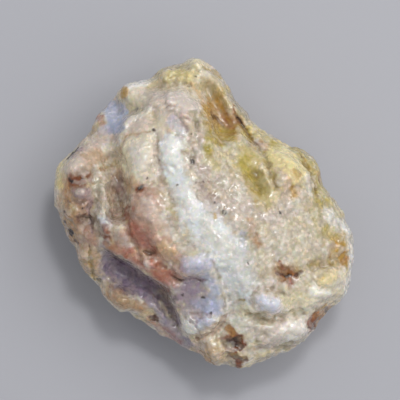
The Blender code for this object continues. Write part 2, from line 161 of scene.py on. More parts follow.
# Name: colour, strength, height (below zero for a groove or a pit), half width, points along it
MARKS = {
    # broad zones
    "top crust": (PALE_OLIVE, 0.85, 0, 4.4, (-17.5, 43.6), (-4, 47)),
    "crust foot": (PALE_OLIVE, 0.6, 0, 2.6, (-8.4, 41.6), (-3, 41.4)),
    "ledge": (CREAM, 0.9, 0, 3.8, (-26, 39.8), (-18, 42)),
    "pink head": (PINK_GREY, 0.85, 0, 6.4, (-15.5, 37), (-7, 33.5)),
    "head shade": (GREY_OLIVE, 0.3, 0, 3.2, (-19.4, 36), (-17, 31.6)),
    "channel head": (PALE_OLIVE, 0.5, 0, 2.8, (0.5, 42.5), (3.5, 39.5)),
    "boss": (CREAM, 0.9, 0, 6.4, (-21, 21), (-22, 13)),
    "left shelf": (PINK_GREY, 0.85, 0, 5, (-42, 14.5), (-34.5, 22)),
    "left lobes": (TAN, 0.85, 0, 6, (-43.5, 9), (-43, -5)),
    "left lobes warm": (OCHRE, 0.4, 0, 5, (-43.4, 7), (-42.8, -5)),
    "left shade": (BROWN, 0.24, 0, 6, (-40, 14), (-39.5, 0), (-38.5, -12)),
    "lobes shade": (PINK_BROWN, 0.8, 0, 3.6, (-39, 3.6), (-39, -6)),
    "heel shade": (OCHRE, 0.5, 0, 2.8, (-38.6, -9), (-38, -16)),
    "left rim": (YELLOW_CREAM, 0.7, 0, 1.9, (-47.8, 17.8), (-48.6, 9)),
    "shoulder": (PINK_BROWN, 0.95, 0, 5.6, (-19.8, 5), (-19, -5)),
    "shoulder cream": (CREAM, 0.45, 0, 3.2, (-16, -2), (-15, -9.5)),
    "lower shoulder": (PINK_BROWN, 0.75, 0, 4.4, (-13.8, -10.5), (-12, -13)),
    "middle face": (PINK_GREY, 0.45, 0, 7.5, (3.5, 11), (11.5, 0.5)),
    "upper middle": (PALE_OLIVE, 0.6, 0, 5.6, (4, 17), (10, 15)),
    "right face": (WARM_CREAM, 0.6, 0, 15, (22, 0), (34, -10)),
    "middle shade": (PINK_GREY, 0.7, 0, 4.6, (-1, 3), (10, 1), (24, 1)),
    "middle hollow": (VALLEY, 0.7, 0, 4.2, (-1, 9), (3.4, 0)),
    "window tail": (OLIVE, 0.85, 0, 2.6, (17, 8.5), (19.6, 3)),
    "right white": (SNOW, 0.8, 0, 3.4, (40.5, -0.5), (44.5, -3.5)),
    "lower right": (CREAM, 0.6, 0, 7, (28, -27), (40, -27)),
    # painted light on the lower right slope, which faces away from the lamps
    "lower right light": (CREAM, 0.7, 0, 5, (27, -31.5), (36, -30), (42, -25)),
    "lower lumps": (PINK_WHITE, 0.7, 0, 5.4, (20.5, -40), (31, -38)),
    "green gap": (ICE, 0.5, 0, 4, (7, -31.5), (11.5, -36)),
    "bottom": (TAN, 0.55, 0, 4.6, (-1.5, -43.5), (4.5, -46)),
    "lobe": (YELLOW_CREAM, 0.95, 0, 5.2, (24, 19.6), (29.5, 14.4)),
    "lobe foot": (PEACH, 0.5, 0, 4.4, (25.5, 10), (27.8, 7.6)),
    "far rim": (PALE_OLIVE, 0.7, 0, 2.6, (38.6, 8), (44.4, 0)),
    # the icy vein down the middle
    "ice vein": (ICE, 0.95, 0, 4.4, (-11, 22), (-10, 13.5), (-7.4, 5.5), (-4, -1)),
    "ice vein low": (ICE, 0.92, 0, 7.4, (-1, -3), (4, -9), (9, -17), (11, -25)),
    "ice top": (SNOW, 0.85, 1, 3.8, (-11, 21.5), (-10.6, 17)),
    "ice second": (SNOW, 0.75, 0.8, 4.2, (-8.4, 6), (-5.4, 0.5)),
    "ice third": (SNOW, 0.6, 0.7, 4.6, (0.5, -6.5), (4.5, -12)),
    "ice fourth": (SNOW, 0.4, 0.7, 4.4, (8.5, -17), (10, -22)),
    "ice lilac": (LILAC, 0.45, 0, 1.8, (11.6, -7), (12.6, -12)),
    "brown tint": (TAN, 0.8, 0, 1.9, (14.6, -2), (15.4, -6.5), (17.2, -10)),
    "brown tint core": (OCHRE, 0.5, -0.5, 0.9, (16.4, -6.5), (17.4, -9.6)),
    # the top and the upper left
    "top knob": (CREAM, 0.9, 1.6, 3, (-4, 50.2), (-2.6, 49.8)),
    "knob cream": (PALE_CREAM, 0.6, 0, 2.8, (-4.4, 50.4), (-2.2, 49.2)),
    "knob slab": (CREAM, 0.85, 0.6, 2.2, (-1, 46.8), (3, 43.4)),
    "crust line": (OLIVE, 0.6, -0.7, 0.8, (-1.6, 48.2), (2.6, 47), (6.2, 44.4)),
    "crust seam": (OLIVE, 0.1, -0.4, 1.6, (-20, 42.4), (-15, 42), (-9, 41.8), (-3.6, 41.2)),
    "crust lump": (YELLOW_CREAM, 0.5, 1, 2.4, (-13.8, 46), (-12, 46.4)),
    "crust lump right": (YELLOW_CREAM, 0.4, 0.8, 2.2, (-7.6, 45.6), (-6, 45)),
    "crust plate": (GREY_OLIVE, 0.5, 0.3, 1.2, (-12, 49), (-8, 48.6)),
    "crust olive": (PALE_OLIVE, 0.6, 0, 1.6, (-18.6, 41.6), (-15, 43.2)),
    "crust light": (CREAM, 0.5, 0, 2.4, (-14.5, 41.4), (-9.5, 41)),
    "ledge white": (SNOW, 0.8, 0.8, 2, (-25.6, 41.8), (-20.5, 43.6)),
    "amber spot": (GOLD, 0.9, 0.4, 1.6, (-27, 38.8), (-26.4, 40)),
    "amber spot core": (RUST, 0.4, 0, 0.7, (-26.8, 39.2)),
    "hollow": (GREY, 0.2, -0.4, 2.6, (-25.4, 33.8), (-21, 35)),
    "hollow light": (PALE_CREAM, 0.6, 0, 2.6, (-26.4, 34.6), (-23.4, 35.4)),
    "ledge grey": (GREY, 0.5, 0, 2.4, (-20.5, 38), (-17.5, 39)),
    "boss head": (PINK_GREY, 0.7, 0, 2.4, (-23.5, 28.6), (-18.5, 29.8)),
    # a raised lip whose white is partly paler stone and partly a painted highlight on its edge
    "hollow lip": (SNOW, 0.4, 0.9, 1.6, (-26.6, 29), (-23.8, 31.2), (-20.8, 32.6), (-18.2, 34)),
    # a groove outside the boss's head, with painted shade in it
    "boss head side": (GREY_LILAC, 0.3, -0.6, 1.3, (-28.8, 20.6), (-29.4, 25.8), (-27, 30.8), (-23, 33.4)),
    "pink crest": (PINK_WHITE, 0.6, 2.4, 5, (-8.4, 38), (-4.6, 34.4)),
    "pink crest left": (PINK, 0.5, 1.5, 3.4, (-15.6, 36.4), (-13, 36.8)),
    "cream column": (CREAM, 0.6, 0.4, 2, (-14.2, 33.5), (-14.6, 27)),
    "lilac fold": (BLUE_WHITE, 0.45, -0.4, 1.8, (-10.6, 30.6), (-8.2, 27), (-8, 24.6)),
    "pink fold": (PINK_BROWN, 0.45, 0.7, 2, (-6.4, 31), (-4.6, 26)),
    "fold shade": (MAUVE, 0.35, -0.6, 0.9, (-8.4, 31), (-7, 28.4), (-6.6, 26)),
    "olive fold": (GREY_OLIVE, 0.7, -1.2, 1.6, (-4, 32.5), (-2.8, 28)),
    "pale lump": (PINK_GREY, 0.8, 0.7, 3, (-2.6, 25.6), (-0.6, 23)),
    "shadow gap": (GREY_OLIVE, 0.6, -0.9, 1.1, (-3.6, 21), (-4, 17.4), (-4.6, 14.4)),
    "grey gap": (PINK_GREY, 0.85, 0, 3, (-3, 14.6), (0, 13)),
    "blue flat": (BLUE_LILAC, 0.85, 0, 3, (-31, 35), (-28.4, 32.6)),
    "blue flat middle": (BLUE_LILAC, 0.75, 0, 2.8, (-31.2, 33), (-30.4, 28.4)),
    "blue flat white": (BLUE_WHITE, 0.5, 0, 1.2, (-32.4, 33.6), (-27.6, 35)),
    "blue flat low": (BLUE_LILAC, 0.9, 0, 2.4, (-32.6, 27.4), (-28.8, 28.6)),
    "red spot": (RED, 0.7, -0.3, 1.5, (-35.2, 31.4), (-34.2, 29.4)),
    "flank": (PINK_GREY, 0.5, 0, 2.4, (-40, 22), (-33.6, 27.4)),
    "flank tan": (TAN, 0.4, 0, 1, (-40.4, 24.6), (-36.6, 27.6)),
    "boss foot light": (PINK_WHITE, 0.5, 0, 2.4, (-32.4, 20.5), (-28.4, 19)),
    # the amber channel and the dark crack beside it
    "channel edge": (PEACH, 0.7, 0.5, 1.1, (-4.6, 43), (-2, 38.6), (0.2, 33.4), (2, 27.4)),
    "channel left": (OLIVE, 0.6, 0, 1.8, (-0.8, 33), (1.2, 25.4)),
    "channel side": (OLIVE, 0.3, 0, 2.8, (6.4, 39.4), (8.8, 35), (11, 30.6)),
    "channel wall": (GOLD, 0.85, 0, 2.4, (1, 34.4), (2.6, 29.5), (4.4, 24.2)),
    "channel": (AMBER, 0.75, 0, 3.4, (3, 36.4), (5.6, 32), (8.4, 27.4)),
    "channel slope": (OLIVE, 0.35, 0, 2.3, (3, 43.8), (6.5, 39.5), (9.2, 35)),
    "channel shade": (OLIVE, 0.3, 0, 2.6, (3, 40), (5, 37.5)),
    "channel brown": (BROWN_AMBER, 0.85, 0, 2.1, (7, 31.8), (8.6, 28.6), (9, 26.4)),
    "amber crease": (DARK_AMBER, 0.6, -0.7, 0.9, (1.4, 33.6), (2.8, 31.8), (4.6, 30), (6.6, 28)),
    "channel streak": (GOLD, 0.5, 0, 0.7, (3.4, 37.6), (6.4, 33.2), (8.8, 29)),
    "channel streak low": (OLIVE, 0.4, 0, 0.6, (6.4, 36.8), (9.2, 31.6)),
    "dark crack": (BROWN_AMBER, 0.85, -1.1, 1, (8.6, 35.6), (9.8, 32.8), (11, 30.2), (12.7, 27.4),
                   (14.9, 24.6), (17.4, 21.6)),
    "dark crack core": (DARK, 0.9, -0.3, 0.45, (10.6, 31.6), (12.6, 28.2)),
    "lip": (GREY_OLIVE, 0.8, 0, 1.7, (10, 37.4), (13.6, 31.6)),
    "lip cream": (YELLOW_CREAM, 0.7, 0.6, 2, (15.2, 27.8), (20.4, 24.6)),
    "lip ochre": (OCHRE, 0.85, 0, 1.4, (18.4, 22.8), (19.8, 21.6)),
    "lobe olive": (YELLOW_OLIVE, 0.8, 0, 1.5, (22.2, 23), (24, 21.6)),
    "lobe olive core": (OLIVE, 0.5, -0.4, 0.7, (22.6, 22.6)),
    # the olive window and the right lobe
    "small olive": (YELLOW_OLIVE, 0.9, 0, 2.1, (0.8, 22.8), (0.9, 19.4)),
    "window halo": (PALE_OLIVE, 0.85, 0, 4.6, (13, 18.5), (17, 11), (20, 6.4)),
    "window low": (OLIVE, 0.6, 0, 3, (13.5, 10.5), (16.5, 6)),
    "channel foot": (YELLOW_OLIVE, 0.6, 0, 4, (3.5, 25), (13, 25)),
    "window top": (OLIVE, 0.55, 0, 1.7, (15.6, 21.8), (18, 19.4)),
    "window": (YELLOW_OLIVE, 0.95, -0.4, 3.4, (13, 16.6), (16.4, 12.4)),
    "window deep": (DEEP_OLIVE, 0.75, -0.4, 2.6, (17.2, 12.6), (18.8, 7.8)),
    "window core": (DEEP_OLIVE, 0.35, 0, 1.6, (14.6, 14.4), (17.6, 10.4)),
    "window tip": (DEEP_OLIVE, 0.55, -0.5, 1.1, (17.4, 9), (18, 6.6)),
    "window streak": (PALE_OLIVE, 0.4, 0, 0.6, (16.2, 16.6), (18, 12), (19.8, 7.4)),
    "lobe crease": (OLIVE, 0.6, -1, 1.4, (17.6, 20.6), (19.8, 16.8), (21.4, 12.6), (22.6, 8.6)),
    "window ridge": (YELLOW_CREAM, 0.5, 0.25, 1.1, (20, 21), (21.8, 17), (23.2, 12.4), (24.8, 7.8)),
    "lobe head": (PALE_CREAM, 0.45, 1, 3.4, (25.6, 19), (28.6, 16.8)),
    "lobe middle": (YELLOW_CREAM, 0.55, 0.8, 3.2, (28.6, 13.6), (30.4, 11.6)),
    "lobe cream": (PALE_CREAM, 0.35, 0, 4.4, (25, 18.6), (31, 13.6)),
    "lobe orange": (GOLD, 0.75, 0, 1.7, (29, 13), (29.6, 12.6)),
    "lobe orange core": (RUST, 0.35, 0, 0.6, (29.2, 12.6)),
    "lobe orange low": (GOLD, 0.7, 0, 1.3, (28.4, 8.2), (28.8, 6)),
    "lobe orange left": (PEACH, 0.5, 0, 1.2, (24.6, 12.6), (26.6, 11.2)),
    "lobe pale": (PINK_WHITE, 0.7, 0.5, 1.6, (33.6, 11.6), (34.4, 9.4)),
    "rim band": (YELLOW_OLIVE, 0.7, 0, 2.6, (29.8, 21.4), (33.6, 18), (36.2, 14), (37.2, 9), (37.8, 4)),
    "rim crease": (OLIVE, 0.7, -0.8, 0.8, (30.2, 20.8), (32.5, 17.5), (34.2, 14.2), (35.8, 10.2),
                   (36.5, 4.2)),
    "rim orange": (OCHRE, 0.5, 0, 1, (37.2, 12.6), (37.6, 9.8)),
    # the granular right of the face
    "far yellow": (YELLOW_OLIVE, 0.75, 0, 3.2, (40, -6), (44, -12)),
    "rim yellow": (YELLOW_OLIVE, 0.4, 0, 3.2, (33, 3), (37, -2)),
    "mustard halo": (GOLD, 0.35, 0, 4.6, (43.6, -10), (45, -13)),
    "mustard": (GOLD, 1.1, -0.3, 3.2, (42.4, -11.8), (45.4, -14.8)),
    "mustard deep": (OCHRE, 0.7, 0, 1, (44.6, -15.8), (46.4, -15)),
    "mustard groove": (OLIVE, 0.7, -0.6, 1.8, (42.2, -16), (38, -16.6), (34, -17.8), (30.4, -19.2)),
    # painted light along the right rim, which slopes away from the lamps
    "right rim light": (SNOW, 0.8, 0, 1.8, (47, -4), (48, -12.6), (48, -20.6), (46, -27.6)),
    # painted light on the lower right slope, which faces away from the lamps
    "low rim light": (SNOW, 0.65, 0, 3.4, (26.6, -31.4), (32, -30.4), (38.6, -25)),
    "low cream left": (PALE_CREAM, 0.5, 0, 2.8, (12.6, -32.4), (21, -33.4)),
    "low cream": (PALE_CREAM, 0.6, 0, 4, (26, -29.4), (33, -28), (39, -24.4)),
    "star halo": (TAN, 0.6, 0, 4, (24, -19.6), (27.6, -20.4)),
    "star": (BROWN_AMBER, 1.1, -0.5, 2.7, (25.6, -19.4), (27.6, -21)),
    "star arm left": (BROWN, 0.75, -0.5, 0.7, (22.6, -19.6), (24.6, -20.4), (26.4, -20.8)),
    "star arm upper": (RUST, 0.8, -0.3, 1, (24.2, -16.4), (25.4, -18.4)),
    "star arm right": (BROWN, 0.8, -0.5, 0.7, (28.4, -20.6), (30.2, -19.8), (31.6, -19.4)),
    "star arm lower": (RED, 0.7, -0.3, 1.1, (27.4, -22), (26.8, -24.2)),
    "star core": (DARK, 0.8, -0.4, 0.5, (25.6, -20.4), (27.6, -20.2)),
    "star spot": (DARK, 0.7, 0, 0.5, (29.8, -19.8)),
    "star pale": (PINK, 0.5, 0.3, 0.6, (27.4, -19.2)),
    # the lower right
    "knuckle": (PINK_WHITE, 0.9, 2.8, 5, (18.6, -29), (21.8, -30.4)),
    "knuckle lilac": (BLUE_WHITE, 0.85, 0.4, 3.2, (18.8, -29), (21.6, -29.8)),
    # a groove under the knuckle; its grey-olive is painted shade
    "knuckle crease": (GREY_OLIVE, 0.35, -1, 1.8, (14, -34), (19.5, -35.4), (25.5, -34.2), (32.2, -32.8)),
    "knuckle head": (GREY, 0.35, -0.6, 1.4, (14.8, -28.2), (16.6, -25.2), (21.6, -24.6), (26.4, -26.6)),
    "nodule": (YELLOW_CREAM, 0.7, 1.1, 2, (38.6, -22.4), (41.6, -20.6)),
    "cheek": (SNOW, 0.7, 0.8, 2.4, (34.6, -25.4), (39.2, -27)),
    "cheek seam": (GREY, 0.35, -0.7, 1.4, (35, -22.6), (38.2, -24.6), (41.6, -25.2), (44.4, -23.6)),
    "lump one": (PINK_WHITE, 0.5, 1.1, 2.6, (22.4, -38.2), (24, -37.8)),
    "lump two": (SNOW, 0.4, 1, 2.8, (28.8, -37.4), (31, -37)),
    "lump three": (PINK_GREY, 0.3, 1, 2.5, (19.4, -42.6), (20.8, -42.2)),
    "lump seam": (GREY, 0.4, -0.9, 1.6, (17.6, -41.6), (20.6, -38.8), (24.4, -36.6)),
    "lump seam low": (GREY_OLIVE, 0.45, -0.9, 1.5, (23, -44.8), (28.8, -44.2), (33.2, -42)),
    "white streak": (SNOW, 0.5, 0.2, 1.2, (24.8, -42.6), (28, -42), (31.4, -41)),
    "grey streak": (GREY_OLIVE, 0.7, -0.3, 1, (24.6, -44.4), (27.6, -45)),
    "grey shade": (GREY, 0.5, -0.3, 2.6, (7, -27.8), (10, -29)),
    "olive dash": (OLIVE, 0.6, -0.4, 0.5, (10, -28.4), (12.2, -28.6)),
    "pit": (RUST, 1.4, -0.9, 2.9, (8, -41.8), (10.8, -43)),
    "pit core": (DARK, 0.9, -0.3, 1.5, (7.4, -42.8), (9.4, -43.6)),
    "pit grey": (GREY, 0.2, 0, 1, (10.2, -41.8), (11.2, -42.4)),
    "pit edge left": (DARK, 1.2, -0.6, 0.7, (5.8, -42.6), (7.4, -43.8)),
    "pit edge low": (DARK, 0.7, -0.4, 0.6, (7.6, -44.6), (10.2, -45.4), (12.2, -44)),
    "pit orange": (OCHRE, 1.2, 0, 1.5, (7.6, -38.4), (8.8, -39.6)),
    "pit tail": (RUST, 1.2, -0.6, 1.3, (9, -45.8), (10.4, -48.4), (10.8, -51)),
    "pit tail right": (BROWN, 1, 0, 1, (10.6, -47.2), (13.6, -48.4)),
    "bottom knob": (PEACH, 0.4, 1, 3, (1.6, -46.4), (6, -47)),
    "knob edge": (OCHRE, 0.6, 0, 1.2, (-3, -44.2), (-0.6, -47.6), (2.6, -50.2)),
    "knob seam": (BROWN, 0.4, -1, 1.4, (7.6, -45.2), (8.4, -48.2), (9.6, -51.6)),
    "rim pit": (RUST, 1.3, -0.8, 2.1, (34.8, -37.2), (37.6, -34.8)),
    "rim pit core": (BROWN, 0.9, -0.4, 1, (35.4, -36.8), (37, -35.4)),
    "rim orange low": (OCHRE, 0.8, 0, 2.2, (37.6, -33.6), (39.8, -31.8)),
    "rim dark": (DARK, 0.9, -0.6, 0.8, (40, -31.6), (41, -33.6)),
    "rim dark low": (DARK, 0.75, -0.5, 0.8, (33.6, -37.8), (36, -38.4)),
    # the lilac block
    "block": (GREY_LILAC, 0.9, 0, 5.6, (-4.8, -25), (-2.6, -32.5)),
    "block right": (BLUE_LILAC, 0.85, 0, 2.4, (0.4, -20.5), (3, -25), (4, -31)),
    "block head": (LILAC, 0.85, 0.7, 3.2, (-6.4, -17.4), (0.2, -16.2)),
    "block head white": (BLUE_WHITE, 0.5, 0.4, 2, (-5.6, -16), (-2.6, -15.4)),
    "block pink": (PINK_BROWN, 0.4, 0, 1.2, (-9, -19.6), (-5, -20.4)),
    # a fold across the block; its mauve and brown are painted shade in the fold
    "block fold": (MAUVE, 0.6, -1, 0.9, (-11, -20.6), (-8.8, -21.6), (-5.4, -21.4), (-2, -22.4), (0.6, -22)),
    "block fold shadow line": (BROWN, 0.4, -0.3, 0.5, (-10.6, -20.8), (-8.4, -21.6), (-6.6, -21.5)),
    "block blue": (BLUE_LILAC, 0.8, 0.4, 2.7, (-1.8, -29.4), (1, -31)),
    "block left": (MAUVE, 0.45, 0, 1.6, (-9, -25), (-7.6, -32)),
    "block mauve": (MAUVE, 0.4, 0, 3.8, (-10, -26), (-4.6, -27)),
    "block foot light": (PINK_WHITE, 0.5, 0, 2.2, (-7, -33.4), (-3, -32.6)),
    "foot line": (MAUVE, 0.5, -0.6, 0.7, (-5, -33), (-1.5, -32.6), (2, -33.2)),
    "foot lobe right": (BLUE_WHITE, 0.85, 1.8, 2.1, (-2, -36.2), (1.6, -34.9)),
    "foot lobe left": (SNOW, 0.8, 2, 2.5, (-6, -36.4), (-4.4, -38.4)),
    "foot split": (MAUVE, 0.4, -0.5, 0.6, (-3.6, -34.6), (-3.2, -37.4), (-2.2, -39.2)),
    "block edge": (GREY, 0.4, -0.7, 0.8, (1.4, -14.6), (3.6, -19.2), (5, -24.4), (5.8, -30), (6.3, -33.4)),
    "vein shade": (GREY, 0.4, 0, 2.6, (1.5, 0.8), (1.5, -5.8), (8.2, -12.5), (14.8, -19)),
    "foot edge": (PINK_BROWN, 0.5, -1.2, 1.4, (6, -34.4), (3.6, -37.6), (0.5, -39.8), (-2.8, -41.4)),
    # the violet plate, its rib and the rim under it
    "violet plate": (VIOLET, 0.95, 0, 5, (-30.8, -17.8), (-25.5, -21), (-19.5, -24.8)),
    # painted shadow on the violet plate, under the overhanging edge
    "plate shadow": (DEEP_VIOLET, 0.3, 0, 2, (-29, -16.6), (-22.6, -20.6), (-16, -26)),
    "plate pale": (GREY_LILAC, 0.75, 0, 1.8, (-34, -12.2), (-32.4, -14.8)),
    "plate lilac": (VIOLET, 0.6, 0.4, 1.8, (-33, -20.6), (-30.4, -24.2), (-25.6, -26), (-20, -26.6)),
    "plate low": (VIOLET, 0.75, 0, 2.6, (-21, -25.4), (-16, -27.6)),
    "red ridge": (RED, 0.7, 0, 2.3, (-29.5, -11.5), (-22, -14.8), (-15.5, -19), (-11.5, -22.6)),
    "violet rib": (GREY_LILAC, 0.85, 1.1, 2.3, (-18.4, -28.6), (-14.8, -33.4), (-11.4, -38.6), (-6, -43.6)),
    "rib groove": (VIOLET, 0.8, -0.5, 1.5, (-14.6, -27.4), (-11.6, -31.2), (-9.2, -36)),
    "gap shade": (DEEP_VIOLET, 0.6, 0, 2, (-14, -24), (-11.4, -28.6)),
    "edge shadow": (DEEP_VIOLET, 0.25, 0, 1.2, (-31, -14.4), (-24.6, -18.6), (-18, -22.6), (-13.6, -26.2)),
    "edge rim": (RED, 0.6, 0.3, 1.3, (-33, -10.4), (-27, -13.2), (-21.6, -17), (-16, -20.8),
                 (-12.4, -24.8)),
    # a groove along the foot of the overhang, darkened as a painted shadow line
    "edge shadow line": (DARK, 0.6, -0.6, 0.6, (-33.6, -11.6), (-29.4, -14.2), (-24, -16.8)),
    "lip ochre low": (TAN, 0.6, 0, 2.6, (-33, -25.6), (-26.5, -29.8), (-20.6, -31.6)),
    "lip yellow": (OLIVE, 0.4, 0, 1.5, (-29, -28.6), (-24.4, -29.8)),
    "lip shade": (BROWN, 0.35, 0, 2.8, (-31, -26), (-22, -31)),
    "lip brown": (OCHRE, 0.3, 0, 1.3, (-32.5, -27.4), (-25, -31.4), (-18, -33.8)),
    "lip pink": (RED, 0.5, 0, 1.6, (-18.6, -35.4), (-14.6, -38.6), (-9, -43)),
    "lip hole": (BROWN, 1.1, -0.9, 0.9, (-18, -34.6), (-16.2, -35.6)),
    "left heel": (TAN, 0.8, 0, 2.6, (-41.4, -13), (-39.6, -19)),
    "heel orange": (OCHRE, 0.5, 0, 1.2, (-44.2, -8.6), (-41.8, -12.4)),
    "green heel": (TAN, 0.7, 0, 1.9, (-36.6, -13.6), (-36.2, -20.4)),
    "heel crease": (OLIVE, 0.5, -1, 0.9, (-38.4, -10.4), (-38.2, -14.2), (-37.8, -18.5), (-37, -22.4)),
    "heel dot": (DARK, 1.2, -0.6, 0.6, (-35.9, -22.4), (-34.5, -22.6)),
    # the left shelf, lobes and valley
    "slit lilac": (MAUVE, 0.7, 0, 1, (-43.8, 18.8), (-41, 20.8)),
    "rim slit": (DARK, 0.95, -1.2, 0.7, (-45.8, 17.5), (-44, 19.5), (-41.8, 21.8)),
    "shelf ochre": (TAN, 0.6, 0, 3.2, (-39, 16.8), (-34.6, 19)),
    "shelf grey": (BLUE_WHITE, 0.45, 0, 2, (-32.6, 21.6), (-30.4, 19.4)),
    "shelf orange": (GOLD, 0.85, -0.3, 1.2, (-34.8, 14.4), (-31.4, 14.6)),
    "shelf orange core": (RUST, 0.7, -0.3, 0.6, (-34.6, 14.4), (-33.4, 14)),
    "left pink": (PINK, 0.7, 0.7, 2.4, (-44.6, 14), (-41.8, 16)),
    "rust patch": (RUST, 0.95, -0.3, 2.2, (-43, 10.6), (-38.6, 10.8)),
    "rust dark": (DARK, 0.7, -0.6, 0.6, (-44.6, 11), (-43.4, 10.2)),
    "rust spot": (DARK, 0.4, -0.3, 0.5, (-40.4, 11.4), (-39.4, 11.2)),
    "left bead": (GREY_LILAC, 0.5, 1.3, 2.2, (-42, 6.4), (-39, 6.2)),
    "left bead light": (PINK_WHITE, 0.4, 0, 1, (-41.6, 6.9), (-40.2, 6.8)),
    "bead seam": (BROWN, 0.4, -0.7, 0.9, (-45, 3.4), (-41, 3.2), (-38.2, 4.2)),
    "lobe lump": (TAN, 0.3, 0.8, 2.4, (-44.6, 0.4), (-42.4, -0.6)),
    "brown pit": (BROWN, 1.1, -0.5, 2.2, (-40.4, -2), (-37.6, -2.6)),
    "pit floor": (PINK_BROWN, 0.8, 0, 3.2, (-39.6, -4), (-38.6, -9)),
    "pit top": (DARK, 0.8, -0.8, 0.8, (-40.6, -0.8), (-38.2, -1.6), (-36.4, -3.6)),
    "pit tan": (TAN, 0.5, 0.3, 1.6, (-43.2, -3.6), (-42, -6)),
    "left lumps shade": (BROWN, 0.16, 0, 4.6, (-38.6, 11), (-38.6, -6)),
    "valley top light": (PALE_CREAM, 0.4, 0, 2.6, (-31.6, 20.6), (-27, 19.4), (-24.6, 13.4)),
    "hole one": (DARK, 1.3, -0.7, 0.8, (-45, -6), (-44.2, -7)),
    "hole two": (BROWN, 0.9, -0.6, 0.6, (-43.2, -9.4), (-41.8, -10.2)),
    "pale rib": (GREY, 0.6, -0.5, 2, (-34.4, 10.5), (-34, 5), (-34.6, 0.5), (-33.6, -4.5)),
    "rib left lump": (GREY, 0.3, 1, 2.2, (-36.8, 8.6), (-36.6, 5.4)),
    "rib left lump low": (GREY, 0.3, 0.9, 2.2, (-36.4, -0.4), (-36, -3.6)),
    "rib right lump": (PINK_GREY, 0.3, 0.9, 2.4, (-32.2, 5.6), (-32, 1)),
    "rib right lump low": (BLUE_WHITE, 0.4, 0.9, 2, (-32, -2.6), (-32.4, -5)),
    "rib light": (BLUE_WHITE, 0.5, 0, 1.6, (-33.6, -1.5), (-33, -5.5)),
    "left groove": (MAUVE, 0.7, -0.5, 1.2, (-38.6, 8), (-38, 4), (-38.2, -1), (-37.2, -6.4)),
    "left groove dark": (BROWN, 0.35, -0.2, 0.8, (-38, 2), (-37.8, -2), (-37, -5.5)),
    "valley": (PINK_BROWN, 0.8, 0, 3.2, (-29.6, 12), (-28.8, 0)),
    "valley floor": (VALLEY, 0.85, 0, 2.2, (-28.6, 11), (-28, 1)),
    "valley lump": (MAUVE, 0.3, 0.8, 2, (-28.8, 9), (-27.8, 6)),
    "valley lump low": (PINK_GREY, 0.3, 0.7, 1.8, (-29.4, 1.4), (-28.6, -0.6)),
    "valley grey": (GREY, 0.5, 0, 1.8, (-32.2, 14), (-31, 9)),
    "valley foot": (BROWN, 0.4, -0.5, 1.6, (-31.4, -1), (-28.6, -2.6), (-26.4, -1.6)),
    "nest": (PINK_GREY, 0.5, 1.1, 2.6, (-27.8, -5), (-27.4, -8.6)),
    "rust nest": (RUST, 0.8, 0, 1.8, (-32.8, -5.4), (-32.2, -9.6)),
    "nest ochre": (OCHRE, 0.4, 0, 1.6, (-30.6, -9.8), (-27.6, -11.6)),
    # the cream boss and the shoulder under it
    "boss head edge": (OCHRE, 0.45, -0.5, 0.7, (-27.6, 18.5), (-27, 22.8), (-25, 25.3), (-21.5, 25.6),
                       (-18.2, 26.4)),
    "boss cream": (CREAM, 0.5, 0.6, 2.8, (-25, 22.4), (-20.4, 23.6)),
    "boss crest": (SNOW, 0.35, 0.7, 3.2, (-22.4, 20), (-22, 15.6)),
    "boss split": (PINK_GREY, 0.5, -0.7, 1.5, (-15.9, 24.6), (-15.6, 18.5), (-14.6, 11.5), (-12.5, 6.5)),
    "boss tan": (OCHRE, 0.5, 0, 2.2, (-25, 9.6), (-22.6, 8)),
    "boss foot": (PINK_BROWN, 0.5, 0, 2, (-18.6, 7.6), (-14.8, 5.2)),
    "spot": (RUST, 1.2, -0.6, 1.1, (-22.2, 7.4), (-20.4, 8.2)),
    "spot core": (DARK, 1.1, -0.3, 0.7, (-21.6, 7.8), (-20.4, 8.2)),
    "spot low": (RUST, 0.6, -0.4, 0.9, (-22.8, 5.8), (-22, 5)),
    "shoulder edge": (RED, 0.75, 0, 2.6, (-24.4, 0), (-23, -5), (-20, -10)),
    "shoulder pool": (RED, 0.8, 0, 2.6, (-19.5, -7), (-16.5, -11.5)),
    "shoulder shade": (RED, 0.45, 0, 5, (-25, -9), (-17, -13), (-11, -18)),
    "shoulder brown": (PINK_BROWN, 0.5, 0, 3.2, (-19.4, 2.4), (-17.6, -1)),
    "shoulder red": (RED, 0.22, 0, 5, (-18, -5), (-12.4, -6.2)),
    "shoulder lump": (PINK, 0.5, 0.8, 2.4, (-19, 3), (-17.4, -1.6)),
    "shoulder lump low": (PINK_BROWN, 0.6, 0.8, 2.6, (-17.6, -5.6), (-16.2, -9)),
    "nest crease": (BROWN, 0.6, -0.6, 0.7, (-20.4, -12.4), (-18.6, -13.4), (-16.6, -13.2)),
    "white bead": (PINK_WHITE, 0.7, 0.8, 1.5, (-19.2, -15.6), (-18.2, -17)),
    "orange lump": (PEACH, 0.75, 0.8, 2.8, (-13.4, -11.4), (-11.8, -13)),
    "red tail": (RED, 0.6, 0.4, 2.2, (-16.6, -16.6), (-11.6, -20)),
    "tail rust": (RUST, 0.7, -0.4, 0.9, (-15.4, -16.8), (-12.6, -17.8)),
    "mound edge": (BROWN, 0.3, -1, 1.4, (-26, 1), (-25.6, -4.2), (-23.8, -8.8), (-21.6, -13), (-21.4, -16)),
    "orange fleck": (GOLD, 0.9, 0, 0.6, (2.2, 0), (2.5, -1.4)),
}

